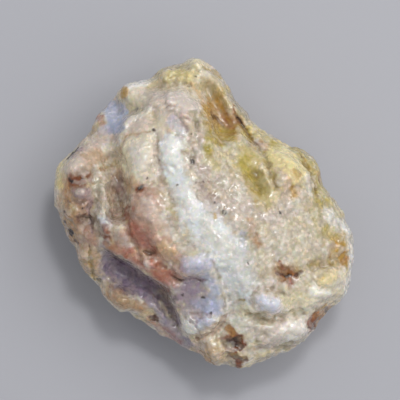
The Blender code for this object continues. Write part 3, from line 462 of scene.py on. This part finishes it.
# Specks of dark mineral: x, y, radius
SPECKS = [
    (-17.2, 26.5, 0.8), (-4.2, 16.5, 0.9), (-1, 10.2, 0.6), (2.6, 3.5, 0.6), (5.4, 0.4, 0.6),
    (6.2, -0.3, 0.5),
    (13.6, -16.2, 0.6), (24.2, 0.2, 0.6), (-7.4, -26.8, 0.6), (-0.7, -27.6, 0.8), (1.8, -32.2, 0.7),
    (-19.2, 11.1, 0.5), (-9.4, 9.2, 0.5), (-46.4, 0.2, 0.6), (-46.2, -3.4, 0.7), (-43.8, 10.4, 0.8),
    (-30, -14.8, 0.7), (-28.4, -16.2, 0.5), (-25.2, -17.6, 0.5), (-15.2, 17, 0.4),
    (-4.8, 25.6, 0.4), (-2, 15.2, 0.4), (31, -21, 0.4), (-3, 45, 0.5), (-40.4, 1.6, 0.5),
]

# Patches of the flanks and underside, which don't follow the face: colour, x, y, z, radius, strength
FLANK_PATCHES = {
    "north amber": (AMBER, 14, 34, 12, 9, 0.6),
    "north-west blue": (BLUE_LILAC, -34, 27, 10, 11, 0.7),
    "west violet": (VIOLET, -42, -8, 8, 9, 0.5),
    "south-west violet": (VIOLET, -20, -34, 10, 12, 0.7),
    "south ice": (ICE, 6, -44, 8, 12, 0.7),
    "south-east pink": (PINK_BROWN, 34, -32, 8, 12, 0.6),
    "east olive": (YELLOW_OLIVE, 46, -4, 12, 9, 0.6),
    "east ice": (ICE, 40, 10, 6, 12, 0.7),
    "under lilac": (LILAC, -14, -8, 0, 14, 0.6),
    "under rust": (RUST, 10, 14, 0, 8, 0.4),
    "under ice": (ICE, 12, -14, 0, 14, 0.5),
}

FACE_SHIFT = np.array([0.63, 0.11])
CREASE_WIDTH = 1.25
BEND, BEND_BY = 5.0, 0.6
RAG, RAG_SHARE, MOST_RAG = 2.0, 0.2, 0.9
WOBBLE, WOBBLE_BY = 3.0, 0.35
STEEPEST, STEEP_FADE = 0.05, 0.3
MARKS_FROM, FACE_BLEND = 12.0, 8.0


def linear(code):
    """The linear red, green and blue of an sRGB hex value."""
    parts = [int(code[i:i + 2], 16) / 255 for i in (1, 3, 5)]
    return np.array([c / 12.92 if c <= 0.04045 else ((c + 0.055) / 1.055) ** 2.4 for c in parts])


def rise(t):
    """0 below t = 0, 1 above t = 1, and smooth between."""
    t = np.clip(t, 0.0, 1.0)
    return t * t * (3.0 - 2.0 * t)


def scatter(cells, seed):
    """Three numbers from 0 to 1 for each whole-numbered cell, the same on every run."""
    mixing = np.array([[127.1, 269.5, 419.2], [311.7, 183.3, 371.9], [74.7, 246.1, 168.3]])
    return np.sin(cells @ mixing + seed) * 43758.5453 % 1.0


def cloud(places, size, seed):
    """Smooth noise from about -1 to 1, with lumps about this many millimetres across."""
    scaled = places / size
    whole = np.floor(scaled)
    rest = scaled - whole
    ease = rest**3 * (rest * (rest * 6 - 15) + 10)
    total = np.zeros(len(places))
    for corner in itertools.product((0, 1), repeat=3):
        slope = scatter(whole + corner, seed) * 2 - 1
        weight = np.where(np.array(corner) == 1, ease, 1 - ease).prod(axis=1)
        total += weight * ((rest - corner) * slope).sum(axis=1)
    return total * 1.6


def layered_cloud(places, size, seed, layers=3):
    """Noise with finer and finer lumps, each layer half the size and half the height of the last."""
    return sum(cloud(places, size / 2**n, seed + n) / 2**n for n in range(layers))


def drift(noise, places, size, seeds):
    """A shift for each place, with noise of this size and a seed for each axis."""
    return np.stack([noise(places, size, seed) for seed in seeds], axis=1)


def flatness(normals):
    """1 where the surface faces up, 0 where it is steep or overhangs."""
    return rise((evened(normals, edges, 4)[:, 2] - STEEPEST) / STEEP_FADE)


def smooth_path(corners, steps=5):
    """Points along a Catmull-Rom curve through the given ones."""
    p = np.array(corners, float)
    p = np.vstack([2 * p[0] - p[1], p, 2 * p[-1] - p[-2]])
    found = []
    for a, b, c, d in zip(p[:-3], p[1:-2], p[2:-1], p[3:]):
        for t in np.arange(steps) / steps:
            found.append(0.5 * (2 * b + (c - a) * t + (2 * a - 5 * b + 4 * c - d) * t**2
                                + (3 * b - a - 3 * c + d) * t**3))
    found.append(p[-2])
    return np.array(found)


def distance_along(x, y, path):
    """Distance from each place to a path, and how far along it the nearest point lies, from 0 to 1."""
    nearest = np.full(len(x), 1e6)
    share = np.zeros(len(x))
    for number, ((ax, ay), (bx, by)) in enumerate(zip(path[:-1], path[1:])):
        length = math.hypot(bx - ax, by - ay)
        ux, uy = (bx - ax) / length, (by - ay) / length
        along = np.clip((x - ax) * ux + (y - ay) * uy, 0.0, length)
        away = np.hypot(x - ax - along * ux, y - ay - along * uy)
        share = np.where(away < nearest, (number + along / length) / (len(path) - 1), share)
        nearest = np.minimum(nearest, away)
    return nearest, share


def reach_of(half_width, corners):
    """The vertices near a mark, and how far out of its middle each one lies: 1 is the mark's edge."""
    path = smooth_path(corners) if len(corners) > 2 else np.array(corners, float)
    shaken = spots + min(RAG_SHARE + RAG_SHARE * half_width, MOST_RAG) * ragged
    margin = 1.8 * half_width
    near = ((shaken > path.min(axis=0) - margin) & (shaken < path.max(axis=0) + margin)).all(axis=1)
    near = np.flatnonzero(near)
    away, share = distance_along(*shaken[near].T, path)
    width = half_width * wobble[near]
    if half_width < CREASE_WIDTH and len(corners) > 2:
        width *= 0.35 + 0.65 * np.sqrt(np.clip(np.sin(np.pi * share), 0.0, 1.0))
    return near, away / width


def marks_relief():
    """Height of the marks. Grooves narrower than CREASE_WIDTH are V-shaped, and the rest are rounded."""
    height = np.zeros(len(spots))
    for _, _, rising, half_width, *corners in MARKS.values():
        if rising != 0.0:
            near, out = reach_of(half_width, corners)
            inside = np.clip(1.0 - out, 0.0, 1.0)
            sharp = rising < 0.0 and half_width < CREASE_WIDTH
            height[near] += rising * (rise(inside) if sharp else (1.0 - (1.0 - inside) ** 2) ** 0.9)
    return height


# The marks are shaken a little, which gives them an uneven course and ragged edges.
points, normals = read_points(stone_mesh)
spots = points[:, :2] - FACE_SHIFT + BEND_BY * drift(layered_cloud, points, BEND, (11, 23))
ragged = drift(layered_cloud, points, RAG, (201, 211))
wobble = 1.0 + WOBBLE_BY * layered_cloud(points, WOBBLE, 217)
facing_up = flatness(normals) * rise((points[:, 2] - MARKS_FROM) / FACE_BLEND)
points[:, 2] += marks_relief() * facing_up
write_points(stone_mesh, evened(points, edges, 1))

# Its broken grain. Massive sodalite breaks like lump sugar, in small flat cleavage faces that tilt every
# way, here 1 to 3 mm across on weathered lumps of 4 to 10 mm. The violet plate, the amber channel and the
# olive window broke smooth like glass.

COARSE_GRAIN, COARSE_SLOPE, COARSE_STEP = 2.8, 0.11, 0.05
FINE_GRAIN, FINE_SLOPE, FINE_STEP = 1.6, 0.06, 0.02
CRISPNESS = 14.0
SWELL, SWELL_HEIGHT = 10.0, 0.55
NODULE, NODULE_HEIGHT = 5.6, 0.60
CLUMP, CLUMP_HEIGHT, MOST_CLUMP = 4.2, 0.30, 0.6
NODULE_LEVEL = 0.25
SMOOTHED, FINE_SMOOTHED = 0.7, 0.85
GLASSY_FROM = 14.0
TABLE_GAP, TABLE_BLEND = 0.4, 3.0

# Smooth, glassy places: half width, points along the middle
GLASSY = {
    "ledge": (3.6, (-26, 41), (-19, 42.6)),
    "boss head": (5.4, (-23, 29), (-13, 29)),
    "left shelf": (3.4, (-44, 15), (-34, 21)),
    "left rim": (3, (-47.8, 17), (-48, 5)),
    "left bead": (2.8, (-42, 6.4), (-39, 6.2)),
    "lower lumps": (4, (22, -38.4), (31, -37.4)),
    "shoulder": (4, (-18.6, 3), (-14, -9)),
    "top slab": (3.5, (-3, 49), (3, 43)),
    "pink crest": (6.4, (-15, 36), (-4.6, 34.6)),
    "top knob": (3.4, (-4.2, 50.4), (-2.6, 49.6)),
    "nest": (3.4, (-28, -4), (-27.2, -9)),
    "shoulder foot": (4.6, (-23, -6), (-15, -14)),
    "red ridge": (2.6, (-29, -12), (-13, -21)),
    "ice vein": (4, (-9, 12), (-4, -2)),
    "ice vein low": (6, (1, -5), (9, -20)),
    "lobe": (4.5, (25, 19), (29, 14)),
    "cheek": (3.5, (36, -26), (44, -22)),
    "foot lobes": (3.4, (-5, -37), (1.4, -35.2)),
    "amber channel": (5, (-1, 44), (8, 29)),
    "olive window": (4.6, (13.5, 17), (19, 7)),
    "violet plate": (4.8, (-31, -16.5), (-19, -25)),
    "violet rib": (3.6, (-18, -28), (-8, -42)),
    "lilac block": (7, (-3.4, -18), (-1.4, -33)),
    "knuckle": (4.8, (18.6, -29), (21.8, -30.4)),
    "blue flat": (4, (-30, 35), (-31, 27)),
    "ochre lip": (2.6, (-33, -27), (-20, -32)),
    "cream boss": (5, (-21.4, 21), (-22, 13)),
    "ice crest": (4, (-11, 22), (-10, 14)),
}


def glassy_share(places):
    """1 where the stone broke smooth, 0 where it broke in grains."""
    on_face = rise((places[:, 2] - GLASSY_FROM) / FACE_BLEND)
    named = np.zeros(len(places))
    for half_width, *corners in GLASSY.values():
        near, out = reach_of(half_width, corners)
        named[near] = np.maximum(named[near], 1.0 - rise((out - 0.6) / 0.7))
    elsewhere = rise((layered_cloud(places, 16.0, 71) - 0.25) / 0.3)
    return named * on_face + elsewhere * (1.0 - on_face)


def cleavage_faces(places, size, slope, step_height, seed):
    """Height of flat faces about this many millimetres across, each with its own tilt and level."""
    scaled = places / size
    whole = np.floor(scaled)
    weights = np.zeros(len(places))
    height = np.zeros(len(places))
    for step in itertools.product((-1, 0, 1), repeat=3):
        cell = whole + step
        own = scatter(cell, seed)
        away = scaled - cell - own
        weight = np.exp(-CRISPNESS * (away**2).sum(axis=1))
        tilt = own[:, (1, 2, 0)] * 2 - 1
        weights += weight
        height += weight * (slope * size * (away * tilt).sum(axis=1) + step_height * tilt[:, 0])
    return height / weights


def grain_height(places, glassy):
    """Height of the weathered lumps and of the cleavage faces on them."""
    shaken = places + 0.5 * drift(cloud, places, 2.6, (31, 37, 41))
    rough = 1.0 - SMOOTHED * glassy
    lumps = SWELL_HEIGHT * layered_cloud(places, SWELL, 53, 2)
    lumps += NODULE_HEIGHT * (np.abs(layered_cloud(places, NODULE, 57, 2)) - NODULE_LEVEL) * rough
    lumps += CLUMP_HEIGHT * clumps * rough
    coarse = cleavage_faces(shaken, COARSE_GRAIN, COARSE_SLOPE, COARSE_STEP, 61)
    fine = cleavage_faces(shaken, FINE_GRAIN, FINE_SLOPE, FINE_STEP, 67)
    return lumps + coarse * rough + fine * (1.0 - FINE_SMOOTHED * glassy)


points, normals = read_points(stone_mesh)
glassy = glassy_share(points)
clumps = layered_cloud(points + 0.8 * drift(cloud, points, 3.0, (403, 409, 411)), CLUMP, 401)
clumps = np.clip(clumps, -MOST_CLUMP, MOST_CLUMP)
above_table = rise((points[:, 2] - TABLE_GAP) / TABLE_BLEND)
points += evened(normals, edges, 3) * (grain_height(points, glassy) * above_table)[:, None]
points[:, 2] = np.maximum(points[:, 2], 0.0)
write_points(stone_mesh, points)

# Its colours, vertex by vertex: clouds of paler and warmer stone, the marks over them with ragged edges, a
# paler tint on the sharpest ridges, and iron stain together with painted shade in the hollows.

SHARP_RIDGE_TINT = (0.04, 0.05, 0.07)
# the hollows' tint: iron stain and painted shade together
HOLLOW_STAIN_AND_SHADE_TINT = (0.20, 0.25, 0.30)
COLOURS_FROM, EDGE_WAVE = 11.0, 3.0

# Clouds of other stone in the cream: colour, size, seed, start, strength
FLANK_CLOUDS = [
    (WARM_CREAM, 22.0, 101, 0.0, 0.8), (ICE, 17.0, 113, 0.12, 0.8), (PINK_GREY, 14.0, 127, 0.15, 0.8),
    (PALE_OLIVE, 15.0, 139, 0.22, 0.8), (TAN, 9.0, 151, 0.30, 0.8), (BLUE_LILAC, 13.0, 163, 0.34, 0.8),
]
FACE_CLOUDS = [
    (PINK_GREY, 7.0, 301, 0.0, 0.5), (SNOW, 4.5, 311, 0.05, 0.5), (YELLOW_CREAM, 6.0, 323, 0.1, 0.4),
    (TAN, 2.6, 331, 0.15, 0.35),
]


def lay(colours, code, share):
    """Lays a colour over the others, in this share at each vertex."""
    return colours + (linear(code) - colours) * np.clip(share, 0.0, 1.0)[:, None]


def cloudy(places, clouds):
    """Cream stone with these clouds of other colours."""
    colours = np.tile(linear(CREAM), (len(places), 1))
    for code, size, seed, start, strength in clouds:
        colours = lay(colours, code, strength * rise((layered_cloud(places, size, seed) - start) / 0.3))
    return colours


def flank_colours(places):
    """The flanks and underside: the same minerals, in clouds and patches that run through the stone."""
    colours = cloudy(places, FLANK_CLOUDS)
    shaken = places + 3.0 * drift(layered_cloud, places, 9.0, (171, 173, 179))
    for code, x, y, z, radius, strength in FLANK_PATCHES.values():
        away = np.linalg.norm(shaken - (x, y, z), axis=1) / radius
        colours = lay(colours, code, strength * (1.0 - rise((away - 0.5) / 0.6)))
    return colours


def face_colours(places):
    """The show face: its marks over cloudy cream."""
    colours = cloudy(places, FACE_CLOUDS)
    patchy = np.clip(1.0 + 0.45 * layered_cloud(places, 2.4, 221) + 0.3 * cloud(places, 6.0, 227), 0.5, 1.2)
    for code, strength, _, half_width, *corners in MARKS.values():
        near, out = reach_of(half_width, corners)
        share = strength * np.maximum(patchy[near], strength) * (1.0 - rise((out - 0.4) / 0.85))
        colours[near] = lay(colours[near], code, share)
    grainy = 1.0 - 0.8 * glassy
    for code, strength, where, start, width in (
            (SNOW, 0.30, clumps, 0.12, 0.3), (GREY, 0.22, -clumps, 0.15, 0.35),
            (PINK_GREY, 0.40, layered_cloud(places, 5.0, 431), 0.15, 0.3),
            (YELLOW_CREAM, 0.22, layered_cloud(places, 4.4, 443), 0.25, 0.3)):
        colours = lay(colours, code, strength * grainy * rise((where - start) / width))
    for x, y, radius in SPECKS:
        out = np.hypot(*(spots + 0.3 * ragged - (x, y)).T) / radius
        colours = lay(colours, DARK, 0.9 * (1.0 - rise((out - 0.4) / 0.6)) * (1.0 - 0.8 * steep))
    return colours


def hollowness(places, normals, rounds):
    """How far each vertex lies below (above zero) or above the surface around it, in millimetres."""
    return ((evened(places, edges, rounds) - places) * normals).sum(axis=1)


points, normals = read_points(stone_mesh)
steep = 1.0 - flatness(normals)
height_on_face = points[:, 2] - COLOURS_FROM - 4.0 * steep + EDGE_WAVE * cloud(points, 7.0, 91)
on_face = rise(height_on_face / (FACE_BLEND - 2.0 * steep))
colours = flank_colours(points)
colours += (face_colours(points) - colours) * on_face[:, None]
fine_hollow = hollowness(points, normals, 4)
broad_hollow = hollowness(points, normals, 40)
# paler on the sharpest ridges
on_sharp_ridge = rise((-fine_hollow - 0.02) / 0.14)
# darker in the hollows: partly iron stain, partly painted shade in the creases and recesses
hollow_stain_and_shade = 0.6 * rise((fine_hollow - 0.02) / 0.18) + 0.9 * rise((broad_hollow - 0.1) / 0.9)
colours = np.clip(colours * (1.0 + np.outer(on_sharp_ridge, SHARP_RIDGE_TINT) - np.outer(hollow_stain_and_shade, HOLLOW_STAIN_AND_SHADE_TINT)), 0.0, 1.0)


def store(mesh, name, values):
    """Keeps one value or colour a vertex in the mesh, for its material."""
    if values.ndim == 1:
        mesh.attributes.new(name, "FLOAT", "POINT").data.foreach_set("value", values.astype(np.float32))
        return
    with_alpha = np.concatenate([values, np.ones((len(values), 1))], axis=1).astype(np.float32)
    mesh.attributes.new(name, "FLOAT_COLOR", "POINT").data.foreach_set("color", with_alpha.ravel())


store(stone_mesh, "mineral", colours)
store(stone_mesh, "glassy", glassy)

# Its finish. Broken sodalite, IOR 1.48, is waxy to glassy: light goes a millimetre or two into it, which
# softens the relief, and cleavage faces just under a millimetre across catch the light one at a time.

SODALITE_IOR = 1.483
CLEAVAGE_FACE = 0.85
MILKY_GRAIN = 1.7
LIGHT_DEPTH = 1.8
FROST_HEIGHT = 0.10
VECTOR_MATH, MAP_RANGE = "ShaderNodeVectorMath", "ShaderNodeMapRange"


def add_node(tree, kind, settings=(), links=()):
    """A node with its settings and its links: {input: value} and {input: (node, output)}."""
    node = tree.nodes.new(kind)
    for name, value in dict(settings).items():
        if isinstance(name, str) and hasattr(node, name):
            setattr(node, name, value)
        else:
            node.inputs[name].default_value = value
    for name, (source, output) in dict(links).items():
        tree.links.new(source.outputs[output], node.inputs[name])
    return node


def massive_sodalite():
    """Cream, icy and lilac sodalite, broken and lightly worn."""
    material = bpy.data.materials.new("massive sodalite")
    material.use_nodes = True
    tree = material.node_tree
    shader = tree.nodes["Principled BSDF"]
    mineral = add_node(tree, "ShaderNodeAttribute", {"attribute_name": "mineral"})
    smooth = add_node(tree, "ShaderNodeAttribute", {"attribute_name": "glassy"})
    place = add_node(tree, "ShaderNodeTexCoord")
    in_mm = add_node(tree, VECTOR_MATH, {"operation": "SCALE", "Scale": 1 / MM},
                     {0: (place, "Object")})

    # each crystal has its own tone, and clouds of clearer and whiter stone run through them
    faces = add_node(tree, VECTOR_MATH, {"operation": "SCALE", "Scale": 1 / CLEAVAGE_FACE},
                     {0: (in_mm, 0)})
    crystal = add_node(tree, "ShaderNodeTexVoronoi", {"Scale": 1.0}, {"Vector": (faces, 0)})
    own = add_node(tree, "ShaderNodeTexWhiteNoise", {"noise_dimensions": "3D"},
                   {"Vector": (crystal, "Position")})
    tint = add_node(tree, VECTOR_MATH, {"operation": "MULTIPLY_ADD", 1: (0.08, 0.08, 0.11),
                                        2: (0.96, 0.945, 0.895)}, {0: (own, "Color")})
    clouds = add_node(tree, "ShaderNodeTexNoise", {"Scale": 0.42, "Detail": 6.0, "Roughness": 0.62},
                      {"Vector": (in_mm, 0)})
    cloud_tone = add_node(tree, MAP_RANGE,
                          {"From Min": 0.3, "From Max": 0.7, "To Min": 0.84, "To Max": 1.00},
                          {"Value": (clouds, "Fac")})
    tinted = add_node(tree, VECTOR_MATH, {"operation": "MULTIPLY"},
                      {0: (mineral, "Color"), 1: (tint, 0)})

    # milky grains just under two millimetres across lie in clearer, warmer stone
    stirred = add_node(tree, "ShaderNodeTexNoise", {"Scale": 0.7, "Detail": 2.0}, {"Vector": (in_mm, 0)})
    bent = add_node(tree, VECTOR_MATH, {"operation": "MULTIPLY_ADD", 1: (1.6, 1.6, 1.6)},
                    {0: (stirred, "Color"), 2: (in_mm, 0)})
    grains = add_node(tree, "ShaderNodeTexVoronoi", {"feature": "SMOOTH_F1", "Scale": 1 / MILKY_GRAIN,
                                                     "Smoothness": 0.35}, {"Vector": (bent, 0)})
    milky = add_node(tree, MAP_RANGE, {"From Min": 0.65, "From Max": 0.15},
                     {"Value": (grains, "Distance")})
    clearest = add_node(tree, MAP_RANGE, {"To Min": 0.0, "To Max": 0.65},
                        {"Value": (smooth, "Fac")})
    tree.links.new(clearest.outputs["Result"], milky.inputs["To Min"])
    milk = add_node(tree, VECTOR_MATH, {"operation": "MULTIPLY_ADD", 1: (0.21, 0.22, 0.27),
                                        2: (0.885, 0.875, 0.845)}, {0: (milky, "Result")})
    grained = add_node(tree, VECTOR_MATH, {"operation": "MULTIPLY"},
                       {0: (tinted, 0), 1: (milk, 0)})
    toned = add_node(tree, VECTOR_MATH, {"operation": "SCALE"},
                     {0: (grained, 0), "Scale": (cloud_tone, "Result")})
    # about a quarter of the crystals are painted paler, partly their own whiter tone and partly painted
    # glints
    glints_and_pale_crystals = add_node(tree, MAP_RANGE,
                      {"From Min": 0.72, "From Max": 0.95, "To Min": 1.0, "To Max": 1.2},
                      {"Value": (own, "Value")})
    toned = add_node(tree, VECTOR_MATH, {"operation": "SCALE"},
                     {0: (toned, 0), "Scale": (glints_and_pale_crystals, "Result")})
    tree.links.new(toned.outputs[0], shader.inputs["Base Color"])

    # the flat face of each crystal tilts its own way, and a finer frosting covers them
    offset = add_node(tree, VECTOR_MATH, {"operation": "SUBTRACT"},
                      {0: (faces, 0), 1: (crystal, "Position")})
    tilt = add_node(tree, VECTOR_MATH, {"operation": "SUBTRACT", 1: (0.5, 0.5, 0.5)},
                    {0: (own, "Color")})
    facet = add_node(tree, VECTOR_MATH, {"operation": "DOT_PRODUCT"},
                     {0: (offset, 0), 1: (tilt, 0)})
    grainy = add_node(tree, MAP_RANGE, {"To Min": 0.46, "To Max": 0.17},
                      {"Value": (smooth, "Fac")})
    facets = add_node(tree, "ShaderNodeBump", {"Distance": CLEAVAGE_FACE * MM},
                      {"Height": (facet, "Value"), "Strength": (grainy, "Result")})
    frost = add_node(tree, "ShaderNodeTexNoise", {"Scale": 3.4, "Detail": 4.0, "Roughness": 0.6},
                     {"Vector": (in_mm, 0)})
    frosty = add_node(tree, MAP_RANGE, {"To Min": 0.20, "To Max": 0.06},
                      {"Value": (smooth, "Fac")})
    frosting = add_node(tree, "ShaderNodeBump", {"Distance": FROST_HEIGHT * MM},
                        {"Height": (frost, "Fac"), "Normal": (facets, "Normal"),
                         "Strength": (frosty, "Result")})
    tree.links.new(frosting.outputs["Normal"], shader.inputs["Normal"])

    # a third of the crystal faces are clean and glint, and the others are frosted
    clean = add_node(tree, MAP_RANGE,
                     {"From Min": 0.3, "From Max": 0.6, "To Min": 0.20, "To Max": 0.45},
                     {"Value": (own, "Value")})
    tree.links.new(clean.outputs["Result"], shader.inputs["Roughness"])
    for name, value in (
            ("IOR", SODALITE_IOR), ("Subsurface Weight", 0.75), ("Subsurface Radius", (1.0, 0.85, 0.7)),
            ("Subsurface Scale", LIGHT_DEPTH * MM), ("Coat Weight", 0.5), ("Coat Roughness", 0.16)):
        shader.inputs[name].default_value = value
    return material


stone_mesh.materials.clear()
stone_mesh.materials.append(massive_sodalite())
stone_mesh.shade_smooth()
stone = bpy.data.objects.new("hackmanite_stone", stone_mesh)
bpy.context.scene.collection.objects.link(stone)
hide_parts("hackmanite_rough")
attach(stone, "root")

# The table top: matt painted board, plain pale grey, which takes a soft shadow.

bpy.ops.mesh.primitive_plane_add(size=6.0, location=(0.0, 0.0, 0.0))
table_top = bpy.context.object
table_top.name = "table_top"
paint = bpy.data.materials.new("matt paint")
paint.use_nodes = True
paint_shader = paint.node_tree.nodes["Principled BSDF"]
paint_shader.inputs["Base Color"].default_value = (*linear("#b1b1b6"), 1.0)
paint_shader.inputs["Roughness"].default_value = 0.9
table_top.data.materials.append(paint)

# The light: a broad soft lamp beyond the stone's upper right, a small one above it for the glints, a weak
# one at the lower right, and the pale room around them.


def soft_lamp(name, towards, distance, size, watts):
    """A square lamp that faces the stone from this direction."""
    lamp = bpy.data.lights.new(name, "AREA")
    lamp.size = size
    lamp.energy = watts
    holder = bpy.data.objects.new(name, lamp)
    holder.location = Vector(towards).normalized() * distance
    holder.rotation_euler = Vector(towards).to_track_quat("Z", "Y").to_euler()
    bpy.context.scene.collection.objects.link(holder)


soft_lamp("window", (0.5, 0.4, 1.0), 1.2, 0.9, 5.6)
soft_lamp("lamp", (0.15, 0.4, 1.0), 1.2, 0.16, 3.5)
soft_lamp("reflector", (0.7, -0.5, 0.9), 1.3, 0.9, 1.1)
room = bpy.data.worlds.new("room")
room.use_nodes = True
room.node_tree.nodes["Background"].inputs["Color"].default_value = (*linear("#e4e6ea"), 1.0)
room.node_tree.nodes["Background"].inputs["Strength"].default_value = 0.57
bpy.context.scene.world = room
bpy.context.scene.view_settings.view_transform = "Standard"

# The camera: straight above the show face. The picture is 400 thirds of a millimetre wide at the height of
# the stone's rim, and its middle lies a little left of and above the middle of the stone.

CAMERA_DISTANCE = 0.8
RIM_HEIGHT = 0.023
VIEW_MIDDLE = (-0.0012, 0.0043)
PICTURE_WIDTH = 0.4 / 3
camera = bpy.data.objects.new("camera", bpy.data.cameras.new("camera"))
camera.data.lens = camera.data.sensor_width * CAMERA_DISTANCE / PICTURE_WIDTH
camera.location = (*VIEW_MIDDLE, RIM_HEIGHT + CAMERA_DISTANCE)
bpy.context.scene.collection.objects.link(camera)
bpy.context.scene.camera = camera
